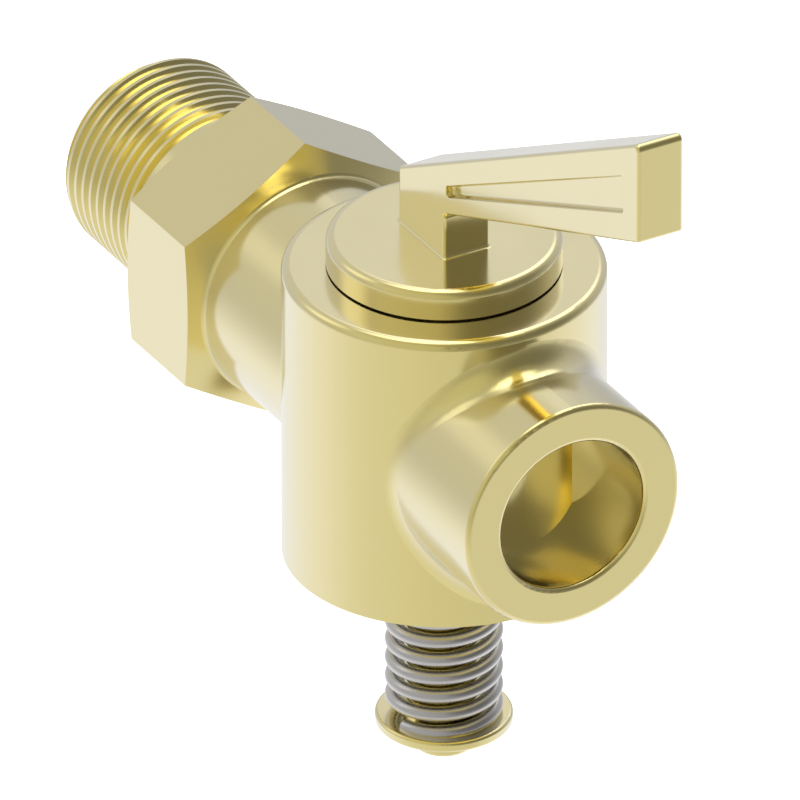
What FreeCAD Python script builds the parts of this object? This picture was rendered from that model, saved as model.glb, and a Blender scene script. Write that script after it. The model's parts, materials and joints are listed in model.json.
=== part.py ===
"""Brass drain valve: a spring-loaded taper plug cock for an air reservoir.

The valve screws into the reservoir by its threaded spigot. A tapered key turns
in the upright barrel. With the lever in line with the nozzle the key's port lies
across the flow and the valve is shut. A quarter turn of the lever opens it.

Frame: the origin is the centre of the hexagon's back face, which seats against
the reservoir. +X runs along the flow towards the nozzle and +Z up the key.
Lengths are in millimetres.
"""
import FreeCAD, Part

import math
import os

# Spigot and hexagon
thread_radius = 11.0
thread_length = 20.05
thread_lead_in = 1.5
thread_lead_depth = 1.0
hex_across_flats = 28.4
hex_length = 12.95
hex_back_chamfer_radius = 14.2
hex_back_chamfer_angle = 20.0
hex_front_chamfer_angle = 15.0

# Neck, barrel and nozzle
key_axis_x = 40.4
neck_radius = 12.5
neck_hex_fillet = 0.5
branch_fillet = 2.8
barrel_radius = 16.65
barrel_top = 16.6
barrel_bottom = -16.75
barrel_top_fillet = 0.9
nozzle_radius = 12.5
nozzle_reach = 26.2
nozzle_rim_fillet = 0.5

# Flow passage
inlet_bore_radius = 6.0
inlet_bore_wall = 3.0
drill_point_angle = 59.0
port_radius = 2.5
port_height = 3.0
outlet_bore_radius = 8.3
outlet_socket_depth = 10.7
outlet_mouth_fillet = 0.5

# Taper seat and the key's plug
plug_top_radius = 11.4
plug_half_taper = 1.0 / 12.0
plug_end_gap = 0.8
seat_clearance = 0.05
barrel_floor = 3.2

# Key head, stem and riveted tail
head_radius = 12.1
head_gap = 0.2
head_thickness = 3.2
head_rim_fillet = 0.9
stem_radius = 4.2
stem_hole_clearance = 0.4
tail_radius = 2.2
rivet_radius = 3.2
rivet_height = 2.9
rivet_edge_fillet = 0.4

# Lever: heights are above the top of the key's head
lever_thickness = 5.3
lever_rear = 4.75
lever_post_front = 4.6
lever_reach = 43.4
lever_rear_height = 6.25
lever_throat_height = 5.25
lever_end_top_height = 32.75
lever_end_bottom_height = 21.25
lever_throat_fillet = 0.8
lever_edge_fillet = 0.35
lever_end_fillet = 0.6
lever_base_fillet = 0.3

# Pocket in each side of the lever
pocket_start = 4.9
pocket_start_low = 7.4
pocket_start_high = 8.7
pocket_start_depth = 0.9
pocket_end = 40.4
pocket_end_low = 23.35
pocket_end_high = 27.65
pocket_end_depth = 0.65
pocket_corner_radius = 0.4
pocket_floor_fillet = 0.3
pocket_mouth_fillet = 0.1

# Spring and washer
spring_outer_radius = 6.08
spring_wire_radius = 0.76
spring_length = 19.35
spring_end_gap = 0.1
spring_pitch = 2.17
spring_start_angle = 281.3
washer_radius = 7.1
washer_thickness = 1.15
washer_edge_fillet = 0.3
washer_hole_clearance = 0.05

# Places that follow from the sizes
hex_corner_radius = hex_across_flats / 2 / math.cos(math.radians(30))
nozzle_face_x = key_axis_x + nozzle_reach
seat_floor_z = barrel_bottom + barrel_floor
plug_bottom_z = seat_floor_z + plug_end_gap
head_bottom_z = barrel_top + head_gap
head_top_z = head_bottom_z + head_thickness
spring_top_z = barrel_bottom - spring_end_gap
washer_top_z = spring_top_z - spring_length
washer_bottom_z = washer_top_z - washer_thickness
rivet_bottom_z = washer_bottom_z - rivet_height
cut_margin = 1.0

along_x = FreeCAD.Vector(1, 0, 0)
along_y = FreeCAD.Vector(0, 1, 0)
along_z = FreeCAD.Vector(0, 0, 1)


def plug_radius_at(z):
    """Radius of the key's taper at a height: it is widest at the barrel's top."""
    return plug_top_radius - (barrel_top - z) * plug_half_taper


def bar_along_x(radius, start_x, end_x):
    """Round bar on the flow axis."""
    return Part.makeCylinder(radius, end_x - start_x, FreeCAD.Vector(start_x, 0, 0), along_x)


def key_axis_point(z):
    """Point on the key's axis."""
    return FreeCAD.Vector(key_axis_x, 0, z)


def turned_about_x(outline):
    """Solid turned about the flow axis from (x, radius) points."""
    points = [FreeCAD.Vector(x, radius, 0) for x, radius in outline]
    face = Part.Face(Part.makePolygon(points + points[:1]))
    return face.revolve(FreeCAD.Vector(0, 0, 0), along_x, 360)


def turned_about_key_axis(outline):
    """Solid turned about the key's axis from (radius, z) points."""
    points = [FreeCAD.Vector(key_axis_x + radius, 0, z) for radius, z in outline]
    face = Part.Face(Part.makePolygon(points + points[:1]))
    return face.revolve(key_axis_point(0), along_z, 360)


def circles_at_x(shape, x, radius):
    """Full circles of a radius about the flow axis, in the plane at x."""
    found = []
    for edge in shape.Edges:
        curve = edge.Curve
        if not isinstance(curve, Part.Circle) or abs(curve.Radius - radius) > 1e-3:
            continue
        if abs(curve.Center.x - x) < 1e-3 and abs(abs(curve.Axis.x) - 1) < 1e-6:
            found.append(edge)
    return found


def circles_at_z(shape, z, radius):
    """Circles of a radius about the key's axis, in the plane at z."""
    found = []
    for edge in shape.Edges:
        curve = edge.Curve
        if not isinstance(curve, Part.Circle) or abs(curve.Radius - radius) > 1e-3:
            continue
        if abs(curve.Center.z - z) < 1e-3 and abs(abs(curve.Axis.z) - 1) < 1e-6:
            found.append(edge)
    return found


def hexagon():
    """Hexagon with upright side flats: chamfered behind, and coned in front from the neck outwards."""
    corners = []
    for step in range(6):
        angle = math.radians(90 + 60 * step)
        y = hex_corner_radius * math.cos(angle)
        z = hex_corner_radius * math.sin(angle)
        corners.append(FreeCAD.Vector(0, y, z))
    face = Part.Face(Part.makePolygon(corners + corners[:1]))
    prism = face.extrude(along_x * hex_length)
    back_slope = math.tan(math.radians(hex_back_chamfer_angle))
    front_slope = math.tan(math.radians(hex_front_chamfer_angle))
    envelope_radius = hex_corner_radius + cut_margin
    back_run = (envelope_radius - hex_back_chamfer_radius) * back_slope
    front_run = (envelope_radius - neck_radius) * front_slope
    envelope = turned_about_x([
        (0, 0),
        (0, hex_back_chamfer_radius),
        (back_run, envelope_radius),
        (hex_length - front_run, envelope_radius),
        (hex_length, neck_radius),
        (hex_length, 0),
    ])
    return prism.common(envelope)


def barrel_branches(barrel):
    """Join the neck and the nozzle to the barrel with cast-in fillets."""
    neck = bar_along_x(neck_radius, hex_length, key_axis_x)
    nozzle = bar_along_x(nozzle_radius, key_axis_x, nozzle_face_x)
    casting = barrel.fuse(neck).fuse(nozzle).removeSplitter()
    junctions = []
    for edge in casting.Edges:
        if isinstance(edge.Curve, (Part.Line, Part.Circle)):
            continue
        junctions.append(edge)
    return casting.makeFillet(branch_fillet, junctions)


def outer_casting():
    """The body's outside, before anything is bored."""
    height = barrel_top - barrel_bottom
    barrel = Part.makeCylinder(barrel_radius, height, key_axis_point(barrel_bottom), along_z)
    casting = barrel_branches(barrel)
    casting = casting.fuse(hexagon()).removeSplitter()
    casting = casting.makeFillet(neck_hex_fillet, circles_at_x(casting, hex_length, neck_radius))
    casting = casting.makeFillet(barrel_top_fillet, circles_at_z(casting, barrel_top, barrel_radius))
    casting = casting.makeFillet(nozzle_rim_fillet, circles_at_x(casting, nozzle_face_x, nozzle_radius))
    spigot = turned_about_x([
        (0, 0),
        (0, thread_radius),
        (thread_lead_in - thread_length, thread_radius),
        (-thread_length, thread_radius - thread_lead_depth),
        (-thread_length, 0),
    ])
    return casting.fuse(spigot).removeSplitter()


def outlet_socket():
    """Room in the nozzle: its far end is closed by the barrel's round wall."""
    bore = bar_along_x(outlet_bore_radius, nozzle_face_x - outlet_socket_depth, nozzle_face_x + cut_margin)
    height = barrel_top - barrel_bottom
    barrel = Part.makeCylinder(barrel_radius, height, key_axis_point(barrel_bottom), along_z)
    return bore.cut(barrel)


def inlet_drilling():
    """Blind bore from the spigot's end with the cone left by the drill."""
    end_x = key_axis_x - plug_radius_at(0) - inlet_bore_wall
    point = inlet_bore_radius / math.tan(math.radians(drill_point_angle))
    return turned_about_x([
        (-thread_length - cut_margin, 0),
        (-thread_length - cut_margin, inlet_bore_radius),
        (end_x - point, inlet_bore_radius),
        (end_x, 0),
    ])


def taper_seat():
    """Tapered hole for the key, with the stem's hole through the barrel's floor."""
    above = barrel_top + cut_margin
    below = barrel_bottom - cut_margin
    stem_hole_radius = stem_radius + stem_hole_clearance
    return turned_about_key_axis([
        (0, above),
        (plug_radius_at(above) + seat_clearance, above),
        (plug_radius_at(seat_floor_z) + seat_clearance, seat_floor_z),
        (stem_hole_radius, seat_floor_z),
        (stem_hole_radius, below),
        (0, below),
    ])


def valve_body():
    """One casting: spigot, hexagon, neck, barrel and nozzle, bored and drilled."""
    body = outer_casting()
    body = body.cut(outlet_socket())
    body = body.makeFillet(outlet_mouth_fillet, circles_at_x(body, nozzle_face_x, outlet_bore_radius))
    body = body.cut(inlet_drilling())
    port_start = FreeCAD.Vector(0, 0, port_height)
    body = body.cut(Part.makeCylinder(port_radius, nozzle_face_x, port_start, along_x))
    return body.cut(taper_seat())


def lever_outline():
    """Side view of the lever, from the head's top up to its square end."""
    base = head_bottom_z + head_thickness / 2
    outline = [
        (-lever_rear, base),
        (-lever_rear, head_top_z + lever_rear_height),
        (lever_reach, head_top_z + lever_end_top_height),
        (lever_reach, head_top_z + lever_end_bottom_height),
        (lever_post_front, head_top_z + lever_throat_height),
        (lever_post_front, base),
    ]
    return [FreeCAD.Vector(key_axis_x + x, -lever_thickness / 2, z) for x, z in outline]


def edges_at(shape, x, z):
    """Straight edges across the lever, at a point of its side view."""
    found = []
    for edge in shape.Edges:
        middle = edge.CenterOfMass
        across = abs(edge.Vertexes[0].Point.y - edge.Vertexes[-1].Point.y)
        if across < lever_thickness / 2:
            continue
        if abs(middle.x - key_axis_x - x) < 1e-3 and abs(middle.z - z) < 1e-3:
            found.append(edge)
    return found


def throat_edges(blank):
    """The two seams across the lever where its throat's round begins and ends."""
    seams = []
    for edge in blank.Edges:
        box = edge.BoundBox
        near_post = box.XMax < key_axis_x + lever_post_front + 2 * lever_throat_fillet
        in_front = box.XMin > key_axis_x + lever_post_front - 1e-3
        if near_post and in_front and box.YLength > lever_thickness / 2:
            seams.append(edge)
    return seams


def lever_blank():
    """The lever's plate with its throat and outer edges rounded."""
    points = lever_outline()
    blank = Part.Face(Part.makePolygon(points + points[:1])).extrude(along_y * lever_thickness)
    throat = edges_at(blank, lever_post_front, head_top_z + lever_throat_height)
    blank = blank.makeFillet(lever_throat_fillet, throat)
    blank = blank.makeFillet(lever_end_fillet, edges_at(blank, lever_reach, head_top_z + lever_end_top_height))
    rounded = []
    for edge in blank.Edges:
        if edge.BoundBox.ZMin > head_top_z - 1e-3 or edge.BoundBox.ZLength > head_thickness:
            rounded.append(edge)
    kept = throat_edges(blank)
    rounded = [edge for edge in rounded if not any(edge.isSame(other) for other in kept)]
    return blank.makeFillet(lever_edge_fillet, rounded)


def lever_pocket(side):
    """Shallow wedge-shaped pocket: side is 1 for +Y and -1 for -Y."""
    corners = [
        (pocket_start, pocket_start_low, pocket_start_depth),
        (pocket_end, pocket_end_low, pocket_end_depth),
        (pocket_end, pocket_end_high, pocket_end_depth),
        (pocket_start, pocket_start_high, pocket_start_depth),
    ]
    points = []
    for x, height, depth in corners:
        y = side * (lever_thickness / 2 - depth)
        points.append(FreeCAD.Vector(key_axis_x + x, y, head_top_z + height))
    face = Part.Face(Part.makePolygon(points + points[:1]))
    pocket = face.extrude(along_y * side * lever_thickness)
    upright = [edge for edge in pocket.Edges if edge.BoundBox.YLength > lever_thickness - 1]
    pocket = pocket.makeFillet(pocket_corner_radius, upright)
    deepest = min(abs(vertex.Y) for vertex in pocket.Vertexes)
    floor = []
    for edge in pocket.Edges:
        box = edge.BoundBox
        if max(abs(box.YMin), abs(box.YMax)) < deepest + 2 * (pocket_start_depth - pocket_end_depth):
            floor.append(edge)
    return pocket.makeFillet(pocket_floor_fillet, floor)


def pocket_mouth_edges(casting):
    """Edges of both pockets in the lever's side faces."""
    mouth = []
    for edge in casting.Edges:
        box = edge.BoundBox
        in_side_face = box.YLength < 1e-3 and abs(abs(box.YMin) - lever_thickness / 2) < 1e-3
        in_length = box.XMin > key_axis_x + pocket_start - 1e-3 and box.XMax < key_axis_x + pocket_end + 1e-3
        above = box.ZMin > head_top_z + pocket_start_low - 1e-3
        if in_side_face and in_length and above:
            mouth.append(edge)
    return mouth


def key():
    """Plug, head, lever, stem and riveted tail, cast and turned as one piece."""
    turned = turned_about_key_axis([
        (0, head_top_z),
        (head_radius, head_top_z),
        (head_radius, head_bottom_z),
        (plug_radius_at(head_bottom_z), head_bottom_z),
        (plug_radius_at(plug_bottom_z), plug_bottom_z),
        (stem_radius, plug_bottom_z),
        (stem_radius, washer_top_z),
        (tail_radius, washer_top_z),
        (tail_radius, washer_bottom_z),
        (rivet_radius, washer_bottom_z),
        (rivet_radius, rivet_bottom_z),
        (0, rivet_bottom_z),
    ])
    turned = turned.makeFillet(head_rim_fillet, circles_at_z(turned, head_top_z, head_radius))
    turned = turned.makeFillet(rivet_edge_fillet, circles_at_z(turned, rivet_bottom_z, rivet_radius))
    casting = turned.fuse(lever_blank()).removeSplitter()
    base = []
    for edge in casting.Edges:
        box = edge.BoundBox
        level = abs(box.ZMin - head_top_z) < 1e-3 and abs(box.ZMax - head_top_z) < 1e-3
        inside = box.XMax < key_axis_x + lever_rear + 1 and box.XMin > key_axis_x - lever_rear - 1
        if level and inside:
            base.append(edge)
    casting = casting.makeFillet(lever_base_fillet, base)
    casting = casting.cut(lever_pocket(1)).cut(lever_pocket(-1))
    casting = casting.makeFillet(pocket_mouth_fillet, pocket_mouth_edges(casting))
    reach = plug_top_radius + cut_margin
    port_start = FreeCAD.Vector(key_axis_x, -reach, port_height)
    return casting.cut(Part.makeCylinder(port_radius, 2 * reach, port_start, along_y))


def spring():
    """Coil spring that pulls the key down into its seat, with both ends ground flat."""
    coil_radius = spring_outer_radius - spring_wire_radius
    path = Part.makeHelix(spring_pitch, spring_length, coil_radius)
    start = FreeCAD.Vector(coil_radius, 0, 0)
    section = Part.Wire(Part.makeCircle(spring_wire_radius, start, along_y))
    coil = Part.Wire(path.Edges).makePipeShell([section], True, True)
    coil.rotate(FreeCAD.Vector(0, 0, 0), along_z, spring_start_angle)
    coil.translate(key_axis_point(washer_top_z))
    grinding_gauge = Part.makeCylinder(washer_radius, spring_length, key_axis_point(washer_top_z), along_z)
    return coil.common(grinding_gauge)


def spring_washer():
    """Washer that the tail is riveted over, under the spring."""
    disc = Part.makeCylinder(washer_radius, washer_thickness, key_axis_point(washer_bottom_z), along_z)
    disc = disc.makeFillet(washer_edge_fillet, circles_at_z(disc, washer_top_z, washer_radius))
    disc = disc.makeFillet(washer_edge_fillet, circles_at_z(disc, washer_bottom_z, washer_radius))
    hole_radius = tail_radius + washer_hole_clearance
    hole_length = washer_thickness + 2 * cut_margin
    hole_start = key_axis_point(washer_bottom_z - cut_margin)
    return disc.cut(Part.makeCylinder(hole_radius, hole_length, hole_start, along_z))


def save(name, shape):
    """Write one piece as a STEP file and print what it holds."""
    solid = shape.Solids[0]
    solid.exportStep(os.path.join("parts", name + ".step"))
    print(name, "solids", len(shape.Solids), "valid", solid.isValid(), "volume", round(solid.Volume, 1))


os.makedirs("parts", exist_ok=True)
save("valve_body", valve_body())
save("key", key())
save("spring", spring())
save("spring_washer", spring_washer())
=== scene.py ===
# %% [markdown]
# # Brass drain valve: the looks
# The valve's working shapes come from the CAD model: a cast brass body, a key with its lever, a
# coil spring and a round washer. This lesson adds what the CAD leaves out, which is the fine screw
# thread on the spigot, and gives every piece a metal finish, a studio and a camera.
# Everything is in metres in the CAD model's own frame, so no piece needs fitting.

import json
import math

import bmesh
import bpy
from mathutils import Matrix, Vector

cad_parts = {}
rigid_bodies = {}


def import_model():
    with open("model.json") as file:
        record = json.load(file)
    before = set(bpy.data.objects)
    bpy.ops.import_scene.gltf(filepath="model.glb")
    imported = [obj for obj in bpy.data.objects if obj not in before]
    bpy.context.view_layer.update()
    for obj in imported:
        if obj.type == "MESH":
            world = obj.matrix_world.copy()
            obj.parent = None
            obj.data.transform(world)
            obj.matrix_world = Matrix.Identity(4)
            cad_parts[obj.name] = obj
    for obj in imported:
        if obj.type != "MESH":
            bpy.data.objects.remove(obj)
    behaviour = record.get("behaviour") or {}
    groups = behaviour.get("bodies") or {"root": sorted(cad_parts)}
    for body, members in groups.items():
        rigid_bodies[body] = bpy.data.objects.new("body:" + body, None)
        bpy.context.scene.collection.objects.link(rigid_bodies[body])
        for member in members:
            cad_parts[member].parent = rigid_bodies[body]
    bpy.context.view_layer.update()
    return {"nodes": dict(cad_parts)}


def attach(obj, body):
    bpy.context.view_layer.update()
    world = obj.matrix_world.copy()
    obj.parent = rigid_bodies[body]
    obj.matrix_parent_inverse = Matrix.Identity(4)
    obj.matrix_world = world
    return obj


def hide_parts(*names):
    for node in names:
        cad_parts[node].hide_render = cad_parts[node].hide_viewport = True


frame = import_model()
MM = 0.001
PER_METRE = 1 / MM
KEY_AXIS_X = 40.4 * MM
print("CAD nodes:", sorted(frame["nodes"]))

# %% [markdown]
# Blender's operators act on whatever is selected, and a fresh import leaves its objects selected.
# A few small helpers keep that under control. One leaves nothing selected, one makes a single object
# both selected and active, which is what the mesh operators expect, and two select the faces or the
# open edges that pass a test.

# %% Selection helpers
def select_nothing():
    """Leave every object unselected."""
    for obj in bpy.context.view_layer.objects:
        obj.select_set(False)


def make_active(obj):
    """Select one object alone and make it the active one."""
    select_nothing()
    obj.select_set(True)
    bpy.context.view_layer.objects.active = obj


def select_faces(obj, wanted):
    """In edit mode, select the faces whose middle and normal pass a test."""
    bpy.ops.mesh.select_mode(type="FACE")
    bpy.ops.mesh.select_all(action="DESELECT")
    mesh = bmesh.from_edit_mesh(obj.data)
    for face in mesh.faces:
        face.select_set(wanted(face.calc_center_median(), face.normal))
    bmesh.update_edit_mesh(obj.data)


def select_open_edges(obj, wanted):
    """In edit mode, select the open boundary edges whose middle passes a test."""
    bpy.ops.mesh.select_mode(type="EDGE")
    bpy.ops.mesh.select_all(action="DESELECT")
    mesh = bmesh.from_edit_mesh(obj.data)
    count = 0
    for edge in mesh.edges:
        middle = (edge.verts[0].co + edge.verts[1].co) / 2
        if edge.is_boundary and wanted(middle):
            edge.select_set(True)
            count += 1
    bmesh.update_edit_mesh(obj.data)
    return count


def radius_about_flow(point):
    """Distance from the flow axis, which is the frame's X axis."""
    return math.hypot(point.y, point.z)


def weld(distance):
    """In edit mode, merge the points of the active mesh that lie closer than a distance."""
    bpy.ops.mesh.select_all(action="SELECT")
    bpy.ops.mesh.remove_doubles(threshold=distance)


select_nothing()

# %% [markdown]
# ## The thread
# The spigot carries a parallel thread of 1.5 mm pitch, 22 mm across its crests. On the real valve a
# lathe tool cuts one V-shaped groove that winds along the spigot. A stack of rings would be easier,
# but its lines would not climb from one turn to the next. The Screw modifier does what the lathe
# does: it turns the outline of a single pitch and moves it along by one pitch each turn.

# %% Thread sizes
THREAD_PITCH = 1.5 * MM
CREST_RADIUS = 10.99 * MM
CREST_WIDTH = 0.45 * MM
FLANK_ANGLE = math.radians(30)
ROOT_FLAT = 0.06 * MM
FLANK_RUN = (THREAD_PITCH - CREST_WIDTH - ROOT_FLAT) / 2
GROOVE_DEPTH = FLANK_RUN / math.tan(FLANK_ANGLE)
THREAD_TURNS = 13
TURNS_BEFORE_MARK = 4
STEPS_PER_TURN = 128
CREST_MIDDLE_ABOVE = -16.865 * MM
SPIGOT_END = -20.05 * MM
THREAD_END = -4.9 * MM
LEAD_IN_START_RADIUS = 10.0 * MM
LEAD_IN_LENGTH = 1.5 * MM
BORE_RADIUS = 6.0 * MM
THREAD_WELD = 0.001 * MM
print("groove depth in mm:", round(GROOVE_DEPTH / MM, 3))

# %% [markdown]
# The outline is drawn as a chain of extruded points above the axis: half a crest, down one flank,
# a narrow root, up the other flank and half a crest again. One crest on the spigot's upper side is the
# mark that sets where every turn begins. The winding starts four turns before that mark, well outside
# the spigot's end, so the unfinished first and last turns can be cut away afterwards.

# %% Draw one pitch and wind it
def draw_chain(name, points):
    """A chain of edges, made by extruding one vertex from point to point."""
    select_nothing()
    bpy.ops.mesh.primitive_plane_add(size=MM, location=(0, 0, 0))
    chain = bpy.context.active_object
    chain.name = name
    bpy.ops.object.mode_set(mode="EDIT")
    bpy.ops.mesh.select_all(action="SELECT")
    bpy.ops.mesh.merge(type="CENTER")
    bpy.ops.mesh.select_mode(type="VERT")
    bpy.ops.transform.translate(value=points[0])
    for here, there in zip(points, points[1:]):
        step = Vector(there) - Vector(here)
        bpy.ops.mesh.extrude_region_move(TRANSFORM_OT_translate={"value": tuple(step)})
    bpy.ops.object.mode_set(mode="OBJECT")
    return chain


def wound_thread():
    """The thread as one closed rod, longer than the spigot at both ends."""
    half_crest = CREST_WIDTH / 2
    root_radius = CREST_RADIUS - GROOVE_DEPTH
    start = CREST_MIDDLE_ABOVE - TURNS_BEFORE_MARK * THREAD_PITCH
    outline = [
        (start, 0, CREST_RADIUS),
        (start + half_crest, 0, CREST_RADIUS),
        (start + half_crest + FLANK_RUN, 0, root_radius),
        (start + half_crest + FLANK_RUN + ROOT_FLAT, 0, root_radius),
        (start + THREAD_PITCH - half_crest, 0, CREST_RADIUS),
        (start + THREAD_PITCH, 0, CREST_RADIUS),
    ]
    rod = draw_chain("threaded_rod", outline)
    winding = rod.modifiers.new("winding", "SCREW")
    winding.axis = "X"
    winding.angle = math.radians(360)
    winding.screw_offset = THREAD_PITCH
    winding.iterations = THREAD_TURNS
    winding.steps = STEPS_PER_TURN
    winding.render_steps = STEPS_PER_TURN
    winding.use_merge_vertices = True
    winding.merge_threshold = THREAD_WELD
    bpy.ops.object.modifier_apply(modifier=winding.name)
    bpy.ops.object.mode_set(mode="EDIT")
    weld(THREAD_WELD)
    middle = start + THREAD_TURNS * THREAD_PITCH / 2
    for towards_hexagon in (False, True):
        select_open_edges(rod, lambda point: (point.x > middle) == towards_hexagon)
        bpy.ops.mesh.edge_face_add()
        bpy.ops.mesh.poke()
    bpy.ops.mesh.select_all(action="SELECT")
    bpy.ops.mesh.normals_make_consistent(inside=False)
    bpy.ops.object.mode_set(mode="OBJECT")
    return rod


rod = wound_thread()
print("wound rod faces:", len(rod.data.polygons))

# %% [markdown]
# The real spigot was a turned blank before its thread was cut, with a cone at its end that lets the
# thread start easily. Here the order is the other way round: a blank with that cone is made from a
# cylinder, and a Boolean keeps only what the rod and the blank have in common.

# %% Trim the rod with a turned blank
BLANK_RADIUS = CREST_RADIUS + 1.0 * MM
BLANK_SIDES = 192
FACING_FREE_END = -0.9
NEARLY_ALONG_X = 0.999


def turned_blank():
    """A blank wider than the thread, with the lead-in cone at its free end."""
    length = THREAD_END - SPIGOT_END
    bpy.ops.mesh.primitive_cylinder_add(
        vertices=BLANK_SIDES, radius=BLANK_RADIUS, depth=length,
        location=(SPIGOT_END + length / 2, 0, 0), rotation=(0, math.radians(90), 0))
    blank = bpy.context.active_object
    blank.name = "turned_blank"
    bpy.ops.object.transform_apply(location=True, rotation=True, scale=True)
    slope = (CREST_RADIUS - LEAD_IN_START_RADIUS) / LEAD_IN_LENGTH
    cone_length = (BLANK_RADIUS - LEAD_IN_START_RADIUS) / slope
    bpy.ops.object.mode_set(mode="EDIT")
    select_faces(blank, lambda middle, normal: normal.x < FACING_FREE_END)
    bpy.ops.transform.translate(value=(cone_length, 0, 0))
    bpy.ops.mesh.extrude_region_move(TRANSFORM_OT_translate={"value": (-cone_length, 0, 0)})
    shrink = LEAD_IN_START_RADIUS / BLANK_RADIUS
    bpy.ops.transform.resize(value=(1, shrink, shrink), center_override=(SPIGOT_END, 0, 0))
    bpy.ops.object.mode_set(mode="OBJECT")
    return blank


def trim_with(obj, tool):
    """Keep what two closed solids share, and remove the tool."""
    make_active(obj)
    cut = obj.modifiers.new("trim", "BOOLEAN")
    cut.operation = "INTERSECT"
    cut.solver = "EXACT"
    cut.object = tool
    bpy.ops.object.modifier_apply(modifier=cut.name)
    bpy.data.objects.remove(tool, do_unlink=True)


select_nothing()
trim_with(rod, turned_blank())
bpy.ops.object.mode_set(mode="EDIT")
select_faces(rod, lambda middle, normal: abs(normal.x) > NEARLY_ALONG_X)
bpy.ops.mesh.delete(type="FACE")
bpy.ops.object.mode_set(mode="OBJECT")
free_end = min(vertex.co.x for vertex in rod.data.vertices)
print("trimmed thread faces:", len(rod.data.polygons), "x from", round(free_end / MM, 3))

# %% [markdown]
# ## The body with its thread
# The casting's own CAD mesh is right everywhere but on the spigot, which is plain there. A CAD mesh
# is never edited, so a copy is taken and its loose triangles are merged into one skin. The copy
# loses the plain spigot's outside, keeps the bore inside it, and the thread is bridged on at both
# ends, which leaves one closed skin with no hidden walls.
#
# Polished metal shows every wrong normal. Merging would average the normals over long thin triangles
# and smear the reflections, so the exact CAD normals are stored with the face corners before the merge
# and set again at the end. Where two of them part by more than a few degrees, the edge is a real one.

# %% Copy a CAD mesh and keep its normals
CAD_SEAM_ANGLE = math.radians(3)
THREAD_SEAM_ANGLE = math.radians(28)
HAS_NORMAL = 0.5
SKIN_WELD = 0.0002 * MM
BORE_MARGIN = 0.2 * MM
LOOP_REACH = 0.05 * MM


def remember_normals(mesh):
    """Store the exact CAD normals with the face corners, where merging leaves them alone."""
    values = [0.0] * (3 * len(mesh.loops))
    mesh.corner_normals.foreach_get("vector", values)
    mesh.attributes.new("cad_normal", "FLOAT_VECTOR", "CORNER").data.foreach_set("vector", values)


def merged_copy(node, name):
    """A copy of a CAD node as its own object, with its loose triangles merged."""
    copy = bpy.data.objects.new(name, frame["nodes"][node].data.copy())
    bpy.context.scene.collection.objects.link(copy)
    make_active(copy)
    remember_normals(copy.data)
    if copy.data.has_custom_normals:
        bpy.ops.mesh.customdata_custom_splitnormals_clear()
    bpy.ops.object.mode_set(mode="EDIT")
    weld(SKIN_WELD)
    bpy.ops.object.mode_set(mode="OBJECT")
    return copy


def mark_sharp_edges(obj):
    """Sharp edges: where the CAD normals part, and on the thread where the faces turn sharply."""
    mesh = bmesh.new()
    mesh.from_mesh(obj.data)
    stored = mesh.loops.layers.float_vector["cad_normal"]
    for edge in mesh.edges:
        if len(edge.link_loops) != 2:
            edge.smooth = False
            continue
        here, there = edge.link_loops
        pairs = ((here, there.link_loop_next), (here.link_loop_next, there))
        if all(corner[stored].length > HAS_NORMAL for pair in pairs for corner in pair):
            turn = max(first[stored].angle(second[stored]) for first, second in pairs)
            edge.smooth = turn < CAD_SEAM_ANGLE
        else:
            edge.smooth = edge.calc_face_angle() < THREAD_SEAM_ANGLE
    mesh.to_mesh(obj.data)
    mesh.free()


def give_back_normals(mesh):
    """Set the stored CAD normals again; the thread keeps its own."""
    wanted = []
    for stored, corner in zip(mesh.attributes["cad_normal"].data, mesh.corner_normals):
        from_cad = stored.vector.length > HAS_NORMAL
        wanted.append(stored.vector.normalized() if from_cad else corner.vector.copy())
    mesh.normals_split_custom_set(wanted)
    mesh.attributes.remove(mesh.attributes["cad_normal"])


# %% Join casting and thread
body = merged_copy("valve_body", "threaded_body")
bpy.ops.object.mode_set(mode="EDIT")
bpy.ops.mesh.select_all(action="SELECT")
bpy.ops.mesh.bisect(plane_co=(THREAD_END, 0, 0), plane_no=(1, 0, 0))
select_faces(body, lambda middle, normal:
             middle.x < THREAD_END and radius_about_flow(middle) > BORE_RADIUS + BORE_MARGIN)
bpy.ops.mesh.delete(type="FACE")
bpy.ops.object.mode_set(mode="OBJECT")

select_nothing()
rod.select_set(True)
body.select_set(True)
bpy.context.view_layer.objects.active = body
bpy.ops.object.join()
bpy.ops.object.mode_set(mode="EDIT")
for place in (THREAD_END, SPIGOT_END):
    found = select_open_edges(body, lambda point: abs(point.x - place) < LOOP_REACH)
    bpy.ops.mesh.bridge_edge_loops()
    print("bridged", found, "open edges at x", round(place / MM, 2))
bpy.ops.mesh.select_all(action="SELECT")
bpy.ops.mesh.normals_make_consistent(inside=False)
left_open = select_open_edges(body, lambda point: True)
bpy.ops.object.mode_set(mode="OBJECT")
make_active(body)
bpy.ops.object.shade_smooth()
mark_sharp_edges(body)
give_back_normals(body.data)
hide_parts("valve_body")
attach(body, "body")
print("body faces:", len(body.data.polygons), "open edges:", left_open)

# %% [markdown]
# ## Finishes
# Machined brass is a bright, slightly soft mirror. One effect is shared by both metals here, so it is
# a node group with its own inputs: a faint handling haze, which is a slow drift of the roughness over
# the surface. Its noise reads the object's own coordinates, so it stays with a piece when it turns.

# %% Shared effect
HAZE_SIZE_MM = 9.0
HAZE_DETAIL = 3
NOISE_LOW = 0.35
NOISE_HIGH = 0.65


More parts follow.
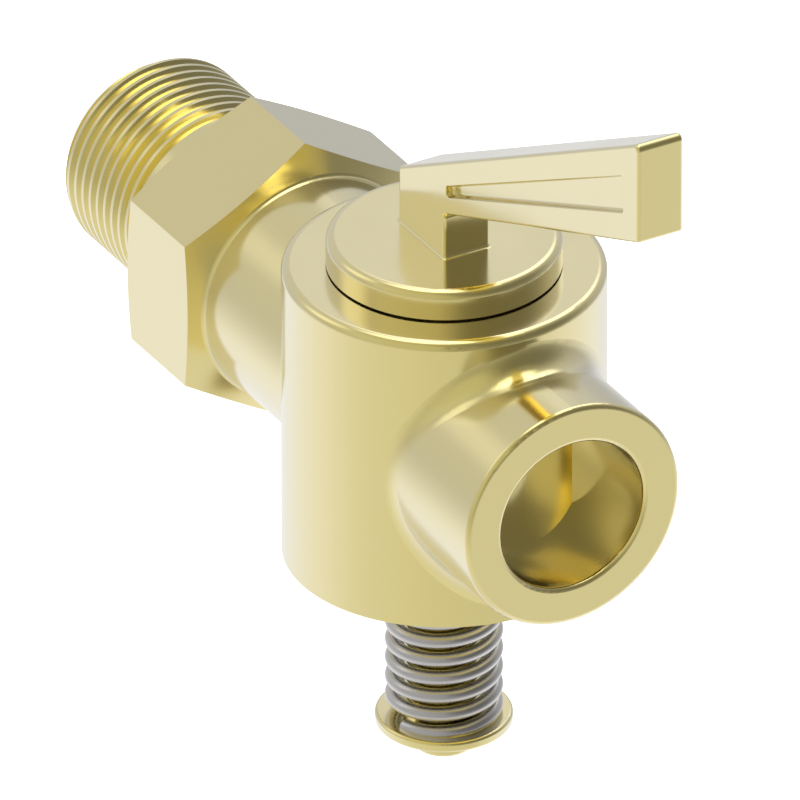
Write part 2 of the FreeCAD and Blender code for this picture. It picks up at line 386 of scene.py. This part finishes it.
def new_group(name, inputs, outputs):
    """An empty shader node group with named sockets."""
    group = bpy.data.node_groups.new(name, "ShaderNodeTree")
    for label, kind, value in inputs:
        socket = group.interface.new_socket(label, in_out="INPUT", socket_type=kind)
        socket.default_value = value
    for label, kind in outputs:
        group.interface.new_socket(label, in_out="OUTPUT", socket_type=kind)
    nodes = group.nodes
    return group, nodes.new("NodeGroupInput"), nodes.new("NodeGroupOutput")


def haze_group():
    """Slow drift of the gloss: a low and a high roughness mixed by soft noise."""
    group, given, out = new_group(
        "handling_haze",
        [("Size mm", "NodeSocketFloat", HAZE_SIZE_MM),
         ("Low", "NodeSocketFloat", 0.1),
         ("High", "NodeSocketFloat", 0.14)],
        [("Roughness", "NodeSocketFloat")])
    nodes, links = group.nodes, group.links
    place = nodes.new("ShaderNodeTexCoord")
    scale = nodes.new("ShaderNodeMath")
    scale.operation = "DIVIDE"
    scale.inputs[0].default_value = PER_METRE
    links.new(given.outputs["Size mm"], scale.inputs[1])
    noise = nodes.new("ShaderNodeTexNoise")
    noise.inputs["Detail"].default_value = HAZE_DETAIL
    links.new(place.outputs["Object"], noise.inputs["Vector"])
    links.new(scale.outputs[0], noise.inputs["Scale"])
    spread = nodes.new("ShaderNodeMapRange")
    spread.inputs["From Min"].default_value = NOISE_LOW
    spread.inputs["From Max"].default_value = NOISE_HIGH
    links.new(noise.outputs["Fac"], spread.inputs["Value"])
    links.new(given.outputs["Low"], spread.inputs["To Min"])
    links.new(given.outputs["High"], spread.inputs["To Max"])
    links.new(spread.outputs["Result"], out.inputs["Roughness"])
    return group


haze = haze_group()
print("groups:", [g.name for g in bpy.data.node_groups])

# %% [markdown]
# A metal's own colour is strongest where it is seen face on. Towards its outline every metal turns
# paler and greyer, and polished brass does so early, which is why the hexagon's upper right flat and
# the nozzle's far side look like silver. Layer Weight gives that change: its Facing output runs from
# 0 face on to 1 at the outline, and it mixes the face colour with the outline colour.

# %% Metals
BRASS_FACE_ON = (0.94, 0.79, 0.264)
BRASS_OUTLINE = (0.84, 0.825, 0.75)
WIRE_FACE_ON = (0.55, 0.53, 0.51)
WIRE_OUTLINE = (0.75, 0.75, 0.75)
EVEN_BLEND = 0.5


def metal(name, face_color, outline_color, low, high):
    """A bright metal that pales towards its outline and whose gloss drifts a little."""
    material = bpy.data.materials.new(name)
    material.use_nodes = True
    nodes, links = material.node_tree.nodes, material.node_tree.links
    shader = nodes["Principled BSDF"]
    shader.inputs["Metallic"].default_value = 1
    facing = nodes.new("ShaderNodeLayerWeight")
    facing.inputs["Blend"].default_value = EVEN_BLEND
    tint = nodes.new("ShaderNodeMix")
    tint.data_type = "RGBA"
    tint.inputs["A"].default_value = (*face_color, 1)
    tint.inputs["B"].default_value = (*outline_color, 1)
    links.new(facing.outputs["Facing"], tint.inputs["Factor"])
    links.new(tint.outputs["Result"], shader.inputs["Base Color"])
    effect = nodes.new("ShaderNodeGroup")
    effect.node_tree = haze
    effect.inputs["Low"].default_value = low
    effect.inputs["High"].default_value = high
    links.new(effect.outputs["Roughness"], shader.inputs["Roughness"])
    return material


def dress(obj, material):
    """Give a piece one material all over."""
    obj.data.materials.clear()
    obj.data.materials.append(material)


brass = metal("machined_brass", BRASS_FACE_ON, BRASS_OUTLINE, low=0.14, high=0.17)
steel = metal("spring_wire", WIRE_FACE_ON, WIRE_OUTLINE, low=0.24, high=0.30)
dress(body, brass)
dress(frame["nodes"]["key"], brass)
dress(frame["nodes"]["spring_washer"], brass)
dress(frame["nodes"]["spring"], steel)

# %% [markdown]
# ## Camera
# The view has no visible perspective, so the camera stands far away with a very long lens. Its
# direction is 60 degrees round from the side and 30 degrees up, and the quarter of a degree more
# shares out the little perspective that is left. The frame's middle lies a little beside the point
# where the flow axis crosses the key's axis.

# %% Camera
AZIMUTH = math.radians(60)
ELEVATION = math.radians(30.24)
FRAME_WIDTH = 81.61 * MM
LENS_MM = 1700
SENSOR_MM = 36
AIM_LEFT = 4.50 * MM
AIM_UP = 0.325 * MM
to_camera = Vector((math.sin(AZIMUTH) * math.cos(ELEVATION),
                    -math.cos(AZIMUTH) * math.cos(ELEVATION), math.sin(ELEVATION)))
screen_right = Vector((math.cos(AZIMUTH), math.sin(AZIMUTH), 0))
screen_up = to_camera.cross(screen_right)
aim = Vector((KEY_AXIS_X, 0, 0)) - screen_right * AIM_LEFT + screen_up * AIM_UP
camera_data = bpy.data.cameras.new("camera")
camera_data.sensor_width = SENSOR_MM
camera_data.lens = LENS_MM
camera = bpy.data.objects.new("camera", camera_data)
bpy.context.scene.collection.objects.link(camera)
camera.location = aim + to_camera * (FRAME_WIDTH * LENS_MM / SENSOR_MM)
camera.rotation_mode = "QUATERNION"
camera.rotation_quaternion = to_camera.to_track_quat("Z", "Y")
bpy.context.scene.camera = camera
print("camera at", [round(c, 3) for c in camera.location])

# %% [markdown]
# ## Studio
# Polished metal has no look of its own: it shows the room around it. So the light is a plain studio
# painted on the world: pale walls all round, with soft round patches that are lighter or darker than
# they are. Each patch is the angle between the ray and the patch's middle, passed through a smooth
# step, which gives it a soft edge. Their places and strengths were fitted until the valve looked as
# it does in its photo, so a name below says where a patch is, and not what stood there. The camera
# itself sees white instead, through Light Path, so the background is white and no light is added for
# it. Reflections keep the room, because in an all-white room this metal would lose its modelling.

# %% World
def add_math(nodes, links, operation, first, second):
    """One Math node fed by two sockets or numbers."""
    node = nodes.new("ShaderNodeMath")
    node.operation = operation
    for socket, value in zip(node.inputs, (first, second)):
        if isinstance(value, bpy.types.NodeSocket):
            links.new(value, socket)
        else:
            socket.default_value = value
    return node.outputs[0]


def soft_patch(nodes, links, ray, azimuth, elevation, inner, outer, strength):
    """Light from one round patch of the room: angles in degrees, full inside inner, none past outer."""
    turn, lift = math.radians(azimuth), math.radians(elevation)
    towards = nodes.new("ShaderNodeVectorMath")
    towards.operation = "DOT_PRODUCT"
    links.new(ray, towards.inputs[0])
    towards.inputs[1].default_value = (
        math.cos(turn) * math.cos(lift), math.sin(turn) * math.cos(lift), math.sin(lift))
    fade = nodes.new("ShaderNodeMapRange")
    fade.interpolation_type = "SMOOTHSTEP"
    links.new(towards.outputs["Value"], fade.inputs["Value"])
    fade.inputs["From Min"].default_value = math.cos(math.radians(outer))
    fade.inputs["From Max"].default_value = math.cos(math.radians(inner))
    fade.inputs["To Min"].default_value = 0
    fade.inputs["To Max"].default_value = strength
    return fade.outputs["Result"]


WALL_LEVEL = 0.404
ROOM = {
    # each patch: azimuth, elevation, inner and outer angle, strength added to the wall
    "pale floor": (-157, -86, 50, 84, 0.36),
    "lamp overhead": (147, 83, 0, 29, 1.53),
    "panel behind on the left": (-131, 36, 0, 22, 0.42),
    "lamp behind on the right": (134, 47, 0, 23, 1.02),
    "light wall behind": (-180, 11, 0, 122, 0.23),
    "light corner in front": (-63, 16, 0, 53, 0.16),
    "lamp's rim in front": (29, 71, 16, 31, 0.07),
    "floor's light end": (77, -51, 0, 48, 0.24),
    "open, darker side": (31, 30, 12, 61, -0.22),
    "shade low behind on the right": (139, -7, 0, 25, -0.09),
    "shade low behind on the left": (-155, -13, 0, 16, -0.08),
}
world = bpy.data.worlds.new("studio")
bpy.context.scene.world = world
world.use_nodes = True
nodes, links = world.node_tree.nodes, world.node_tree.links
background = nodes["Background"]
ray = nodes.new("ShaderNodeTexCoord").outputs["Generated"]
level = WALL_LEVEL
for patch in ROOM.values():
    level = add_math(nodes, links, "ADD", soft_patch(nodes, links, ray, *patch), level)
camera_ray = nodes.new("ShaderNodeLightPath").outputs["Is Camera Ray"]
seen = nodes.new("ShaderNodeMix")
seen.data_type = "FLOAT"
links.new(camera_ray, seen.inputs["Factor"])
links.new(level, seen.inputs["A"])
seen.inputs["B"].default_value = 1.0
links.new(seen.outputs["Result"], background.inputs["Strength"])
background.inputs["Color"].default_value = (1, 1, 1, 1)
print("soft patches:", len(ROOM))

# %% [markdown]
# The valve is held by its thread, so it hangs clear of the floor, as it does in its photo, where the
# ground is plain white. The floor is a wide round sheet that gives the camera full white, so a shadow
# can't show on it. Reflections pass it by and meet the world's own pale floor, which fades smoothly
# into the wall. The sheet is one-sided, so the valve can also be looked at from below.

# %% Floor
FLOOR_RADIUS = 3.0
FLOOR_DROP = 0.3
PAPER_COLOR = (0.85, 0.85, 0.85, 1)
PAPER_ROUGHNESS = 0.8
bpy.ops.mesh.primitive_circle_add(
    vertices=64, radius=FLOOR_RADIUS, fill_type="NGON", location=(0, 0, -FLOOR_DROP))
floor = bpy.context.active_object
floor.name = "floor"
floor.visible_glossy = False
floor.visible_shadow = False
paper = bpy.data.materials.new("white_floor")
paper.use_nodes = True
nodes, links = paper.node_tree.nodes, paper.node_tree.links
shader = nodes["Principled BSDF"]
shader.inputs["Base Color"].default_value = PAPER_COLOR
shader.inputs["Roughness"].default_value = PAPER_ROUGHNESS
shader.inputs["Emission Color"].default_value = (1, 1, 1, 1)
links.new(nodes.new("ShaderNodeLightPath").outputs["Is Camera Ray"], shader.inputs["Emission Strength"])
nothing = nodes.new("ShaderNodeBsdfTransparent")
one_sided = nodes.new("ShaderNodeMixShader")
links.new(nodes.new("ShaderNodeNewGeometry").outputs["Backfacing"], one_sided.inputs["Fac"])
links.new(shader.outputs["BSDF"], one_sided.inputs[1])
links.new(nothing.outputs["BSDF"], one_sided.inputs[2])
links.new(one_sided.outputs["Shader"], nodes["Material Output"].inputs["Surface"])
dress(floor, paper)

bpy.context.scene.view_settings.view_transform = "Standard"
